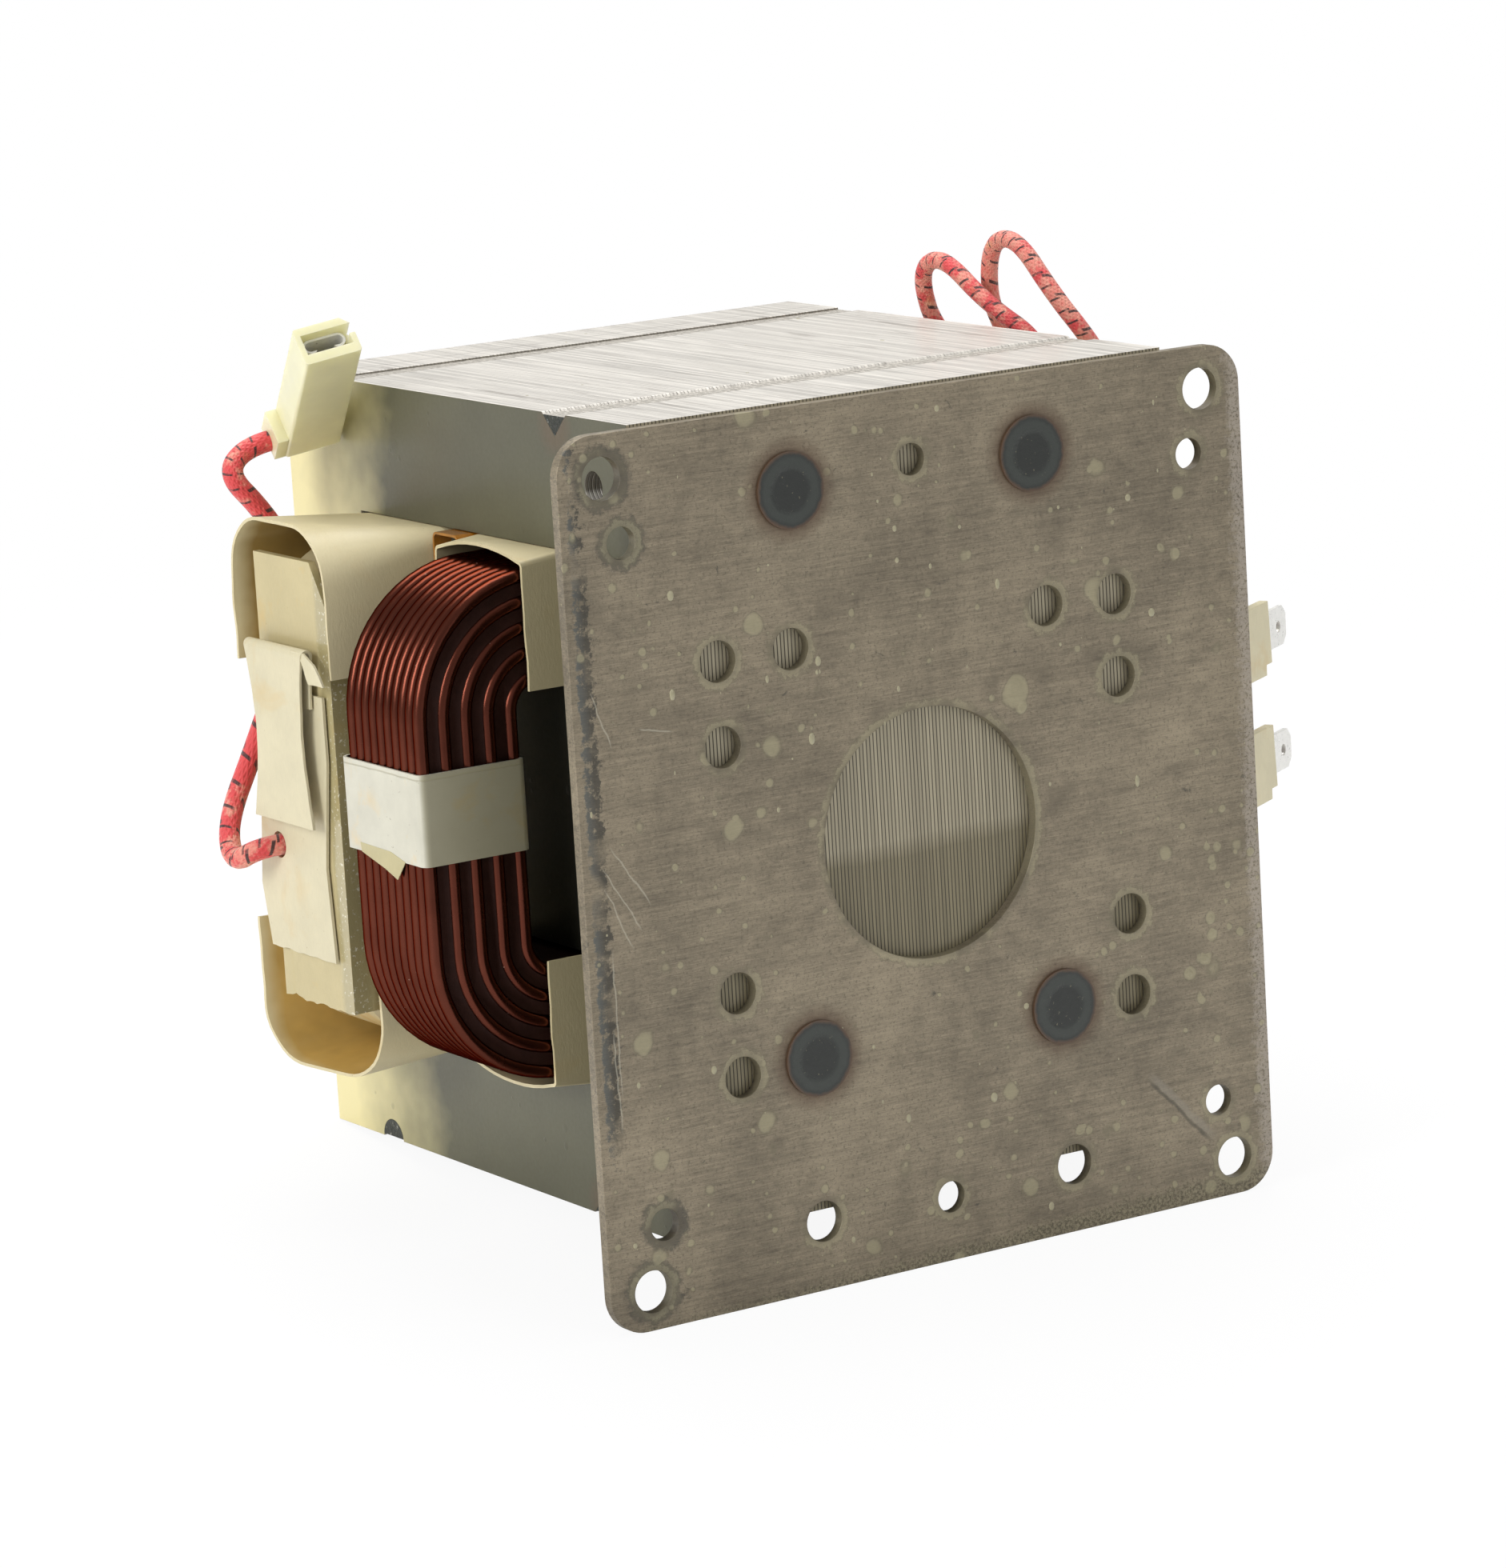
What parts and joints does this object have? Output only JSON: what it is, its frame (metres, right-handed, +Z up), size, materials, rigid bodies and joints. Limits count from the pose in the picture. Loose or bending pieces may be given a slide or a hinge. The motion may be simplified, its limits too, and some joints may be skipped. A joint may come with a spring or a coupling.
{
  "type": "microwave transformer",
  "caption": "Microwave oven transformer: welded laminated core on a punched base plate, copper primary, paper-boxed secondary and braided leads with nylon connectors",
  "frame": {"origin": "Middle of the corner hole pattern, on the outer face of the base plate.", "axes": "+X runs along the width of the plate, +Y from the plate into the core, +Z up the plate as the picture shows it. -Y is the outward normal of the mounting face."},
  "size_m": [0.1702, 0.1057, 0.1476],
  "materials": {
    "plate_steel": "satin, varnished",
    "weld_metal": "burnt, matt",
    "core_steel": "matt, varnished",
    "enamelled_wire": "gloss enamel",
    "slot_paper": "matt",
    "crepe_tape": "matt",
    "amber_film": "gloss",
    "wrap_paper": "matt, varnished",
    "pressed_board": "matt",
    "braided_sleeve": "woven",
    "nylon": "satin, translucent",
    "tinned_brass": "tinned"
  },
  "bodies": {
    "root": {"base_plate": "plate_steel", "plug_weld_top_left": "weld_metal", "plug_weld_top_right": "weld_metal", "plug_weld_low_left": "weld_metal", "plug_weld_low_right": "weld_metal", "core_i_stack": "core_steel", "core_e_stack": "core_steel", "weld_bead_seam_top": "weld_metal", "weld_bead_seam_low": "weld_metal", "weld_bead_back_top": "weld_metal", "weld_bead_back_low": "weld_metal", "primary_winding": "enamelled_wire", "primary_slot_paper_top": "slot_paper", "primary_slot_paper_low": "slot_paper", "primary_tape": "crepe_tape", "shunt_sleeve_top": "amber_film", "shunt_sleeve_low": "amber_film", "magnetic_shunt_top": "core_steel", "magnetic_shunt_low": "core_steel", "secondary_winding": "enamelled_wire", "secondary_slot_paper_top": "slot_paper", "secondary_slot_paper_low": "slot_paper", "secondary_cover_left": "wrap_paper", "secondary_cover_right": "wrap_paper", "filament_winding": "braided_sleeve", "lead_strip": "wrap_paper", "lead_fold": "wrap_paper", "high_voltage_lead": "braided_sleeve", "high_voltage_housing": "nylon", "high_voltage_receptacle": "tinned_brass", "filament_lead_low": "braided_sleeve", "filament_housing_low": "nylon", "filament_receptacle_low": "tinned_brass", "filament_lead_high": "braided_sleeve", "filament_housing_high": "nylon", "filament_receptacle_high": "tinned_brass", "terminal_board_high": "pressed_board", "terminal_board_low": "pressed_board", "mains_tab_high": "tinned_brass", "mains_tab_low": "tinned_brass"}
  },
  "joints": []
}
